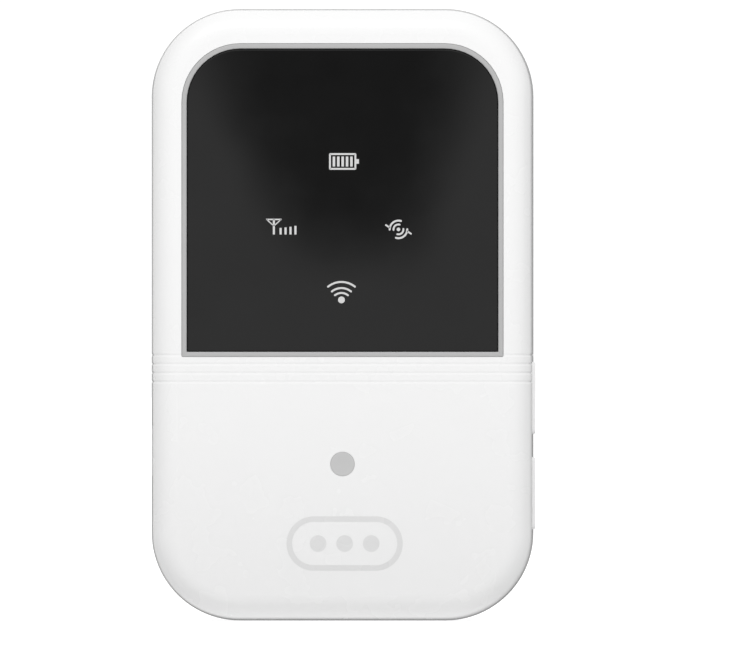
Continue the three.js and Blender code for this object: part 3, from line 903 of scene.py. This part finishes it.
def wireless_sign(ink):
    u, v = -0.17, 1.85
    ink.dot(u, v + 0.55, 0.55)
    for radius in (1.67, 2.46, 3.45):
        ink.arc(u, v, radius, 51, 129, 0.31)


def signs():
    _, highs = span("display_window")
    for name, draw in (
        ("battery", battery_sign),
        ("signal", signal_sign),
        ("data", data_sign),
        ("wireless", wireless_sign),
    ):
        ink = Print(highs[2] + INK_GAP, highs[2] + INK_GAP + SIGN_INK)
        draw(ink)
        ink.piece(f"sign_{name}", sign_print, "housing")


def face_mark():
    """A plain device printed on the face: three dots in a rounded frame."""
    ink = Print(FACE + INK_GAP, FACE + INK_GAP + MARK_INK)
    u, v, half, rise = 0.35, -37, 9.4, 4.4
    line, pitch, dot = 0.9, 4.3, 1.35
    stops = outline(half, v + rise, v - rise, rise, rise, 16)
    ink.frame([(a + u, b, nu, nv) for a, b, nu, nv in stops], line)
    for i in (-1, 0, 1):
        ink.dot(u + pitch * i, v, dot, 48)
    ink.piece("face_mark", mark_print, "housing")


# ---- Keys ----
def front_key():
    build = Builder()
    u, v, _ = middle("power_key")
    lows, highs = span("power_key")
    low, top = lows[2], highs[2]
    shoulder = FACE_INSIDE - 0.15
    radius = KEY_RADIUS
    profile = [(3.1, low), (3.2, low + 0.1), (3.2, shoulder - 0.1), (3.1, shoulder), (radius, shoulder)]
    rim = [(radius, top - 0.2), (radius, top - 0.06), (radius - 0.02, top - 0.02), (radius - 0.07, top)]
    dish = [(radius * share, top - 0.07 * (1 - share * share)) for share in (0.8, 0.6, 0.4, 0.2, 0.05)]
    build.rod((u, v), profile + rim + dish, 64)
    key = build.piece("front_key", grey_satin, "power_key")
    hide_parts("power_key")


def side_key(place):
    """A side key: a flange inside the wall, and a cap with a rounded top that stands out of its slot."""
    build = Builder()
    half_v, half_w = SIDE_KEY_HALVES
    node = f"side_key_{place}"
    lows, highs = span(node)
    v, w = (lows[1] + highs[1]) / 2, (lows[2] + highs[2]) / 2
    back, top = lows[0], highs[0]
    # (inset, u, corner radius)
    section = [(-0.8, back, 0.9), (-0.8, back + 0.8, 0.9), (0, back + 0.8, 0.9), (0, top - 0.22, 0.9)]
    section += [(0.05, top - 0.1, 0.85), (0.16, top - 0.02, 0.8), (0.32, top, 0.7)]
    rings = []
    for inset, u, radius in section:
        narrow = inset / 2 if inset < 0 else inset
        stops = outline(half_v - inset, half_w - narrow, narrow - half_w, radius, radius, 8)
        rings.append([build.bm.verts.new(at(u, v + a, w + b)) for a, b, _, _ in stops])
    build.bridge(*rings)
    build.cap(rings[0])
    build.cap(rings[-1])
    key = build.piece(f"side_key_cap_{place}", white_key, node)
    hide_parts(node)


# ---- Inside, and the carried-over CAD parts ----
def port_contacts():
    build = Builder()
    lows, highs = span("usb_port_tongue")
    v = (lows[1] + highs[1]) / 2
    pitch, half, face_w = 0.65, 0.14, lows[2]
    for i in (-2, -1, 0, 1, 2):
        strip = v + pitch * i
        low = (lows[0] + 0.2, strip - half, face_w - 0.12)
        high = (highs[0] - 0.3, strip + half, face_w - 0.02)
        box_between(build, low, high)
    build.piece("port_contacts", gold_plate, "housing")


def battery_face():
    """A plain label panel and three contact pads on the battery."""
    lows, highs = span("battery")
    ink = Print(lows[2] - 0.02, lows[2] + 0.02)
    u, v, _ = middle("battery")
    half_u, half_v, corner = 19, 27, 1.2
    stops = outline(half_u, half_v, -half_v, corner, corner, 5)
    ring = [(a + u, b + v) for a, b, _, _ in stops]
    ink.shape(ring)
    ink.piece("battery_label", film_label, "battery")
    pads = Builder()
    pitch, half, low_w, high_w = 3.4, 0.8, -3.2, -1.2
    for i in (-1, 0, 1):
        pad_u = u + pitch * i
        low, high = (pad_u - half, highs[1] - 0.3, low_w), (pad_u + half, highs[1] + 0.05, high_w)
        box_between(pads, low, high)
    pads.piece("battery_pads", gold_plate, "battery")


def sim_contacts():
    lows, highs = span("sim_card")
    build = Builder()
    u, v = (lows[0] + highs[0]) / 2, (lows[1] + highs[1]) / 2
    pitch, half_u, half_v = 2.6, 1.9, 1.1
    low_w, high_w = highs[2] - 0.03, highs[2] + 0.03
    for row in (-1, 0, 1):
        for side in (-1, 1):
            cu, cv = u + side * pitch, v + 1 + pitch * row
            box_between(build, (cu - half_u, cv - half_v, low_w), (cu + half_u, cv + half_v, high_w))
    build.piece("sim_contacts", gold_plate, "sim_card")


CAD_FINISHES = {
    "housing": white_gloss,
    "trim": silver_trim,
    "window": window_black,
    "key": grey_satin,
    "chassis_plastic": chassis_plastic,
    "dark_plastic": black_plastic,
    "clear_plastic": light_guide,
    "board": board_green,
    "shield": tin_plate,
    "gold": gold_plate,
    "steel": screw_steel,
    "battery_can": battery_film,
    "foil": copper_foil,
    "led": led_body,
    "pad": soft_pad,
    "label": film_label,
}
EDGE_ROUNDING = {"chassis": 0.12, "battery": 0.5, "sim_card": 0.06, "usb_port_shell": 0.06}
LEAST_ROUNDING = 0.05


def dress_cad_parts():
    """Finishes for the CAD parts that stay, with their edges eased where they are seen."""
    for part in frame["record"]["subparts"]:
        obj = frame["nodes"][part["node"]]
        obj.data.materials.clear()
        obj.data.materials.append(CAD_FINISHES[part["material_slot"]])
        bevel = obj.modifiers.new("eased", "BEVEL")
        bevel.width = EDGE_ROUNDING.get(part["node"], LEAST_ROUNDING) * MM
        bevel.segments = 3
        bevel.limit_method = "ANGLE"
        bevel.angle_limit = math.radians(40)
        bevel.harden_normals = False


make_stage()
front_shell()
back_cover()
window()
bezel()
signs()
face_mark()
front_key()
side_key("upper")
side_key("lower")
port_contacts()
battery_face()
sim_contacts()
dress_cad_parts()
